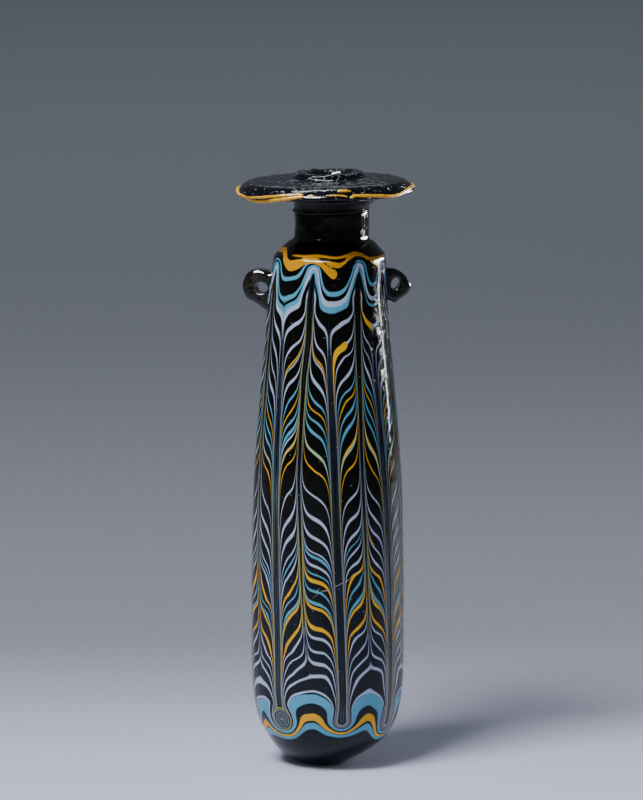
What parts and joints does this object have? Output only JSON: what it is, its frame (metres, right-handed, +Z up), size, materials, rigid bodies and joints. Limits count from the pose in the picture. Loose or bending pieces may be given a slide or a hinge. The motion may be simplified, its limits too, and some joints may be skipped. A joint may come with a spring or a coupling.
{
  "type": "alabastron",
  "caption": "Tall round-footed glass perfume bottle with a wide flat rim disc, a narrow bore and a small ring handle on each side of the shoulder.",
  "frame": {"origin": "on the flat of the foot, under the axis of the body", "axes": "+Z up the body's axis to the mouth, +X from the left handle to the right handle, -Y to the front"},
  "size_m": [0.0442, 0.0442, 0.1501],
  "materials": {
    "trailed_glass": "glossy dark glass, with combed trails of white, turquoise and yellow glass pressed flush",
    "rim_glass": "glossy dark blue-black glass, lightly pitted on top, with a yellow thread on its edge",
    "handle_glass": "glossy dark glass, olive where light comes through"
  },
  "bodies": {
    "root": {"bottle": "trailed_glass", "rim_disc": "rim_glass", "handle_left": "handle_glass", "handle_right": "handle_glass"}
  },
  "joints": []
}
